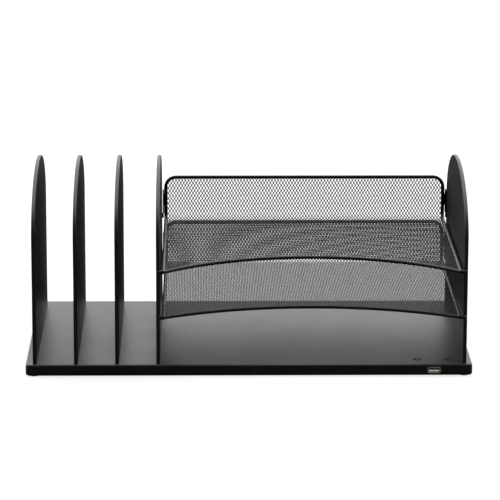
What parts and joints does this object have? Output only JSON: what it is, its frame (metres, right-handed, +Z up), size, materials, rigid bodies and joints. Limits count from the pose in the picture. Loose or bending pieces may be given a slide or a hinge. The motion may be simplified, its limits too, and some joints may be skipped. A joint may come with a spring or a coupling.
{
  "type": "desktop file sorter",
  "caption": "Steel desktop file sorter: upright slots between arched panels beside a stack of pull-out wire-mesh letter trays, on a flat base with a USB socket.",
  "frame": {"origin": "on the surface that the rubber feet stand on, under the middle of the base", "axes": "+Z up, +X to the user's right, -Y towards the user"},
  "size_m": [0.495, 0.282, 0.218],
  "materials": {
    "powder_coat": "satin black powder coat with a fine orange-peel texture",
    "wire_coat": "satin black powder coat on steel wire",
    "mesh_coat": "satin black powder coat on expanded steel mesh",
    "zinc_steel": "zinc-plated steel",
    "black_screw": "black oxide screws",
    "foot_rubber": "matte black rubber",
    "hub_plastic": "matte black ABS",
    "board_laminate": "green circuit board",
    "socket_steel": "warm-toned plated steel",
    "tongue_plastic": "white moulded plastic",
    "contact_brass": "copper-toned plated contacts"
  },
  "bodies": {
    "base_and_panels": {"base_pan": "powder_coat", "rubber_feet": "foot_rubber", "left_end_panel": "powder_coat", "divider_panel_1": "powder_coat", "divider_panel_2": "powder_coat", "bay_left_panel": "powder_coat", "right_end_panel": "powder_coat", "tab_brackets": "zinc_steel", "tab_screws": "zinc_steel", "tray_rest_pegs": "powder_coat", "hub_case": "hub_plastic", "hub_lid": "hub_plastic", "hub_circuit_board": "board_laminate", "usb_shell": "socket_steel", "usb_tongue": "tongue_plastic", "usb_contacts": "contact_brass", "lead_gland": "foot_rubber", "hub_screws": "black_screw"},
    "upper_tray": {"upper_tray_mesh": "mesh_coat", "upper_tray_back_rim": "wire_coat", "upper_tray_left_wire": "wire_coat", "upper_tray_right_wire": "wire_coat", "upper_tray_front_wire": "wire_coat", "upper_tray_front_pins": "wire_coat", "upper_tray_back_hooks": "wire_coat"},
    "lower_tray": {"lower_tray_mesh": "mesh_coat", "lower_tray_back_rim": "wire_coat", "lower_tray_left_wire": "wire_coat", "lower_tray_right_wire": "wire_coat", "lower_tray_front_wire": "wire_coat", "lower_tray_front_pins": "wire_coat", "lower_tray_back_hooks": "wire_coat"}
  },
  "joints": [
    {"name": "upper_tray_slide", "type": "slide", "parent": "base_and_panels", "child": "upper_tray", "axis": [0, -1, 0], "range_m": [0, 0.29]},
    {"name": "lower_tray_slide", "type": "slide", "parent": "base_and_panels", "child": "lower_tray", "axis": [0, -1, 0], "range_m": [0, 0.29]}
  ]
}
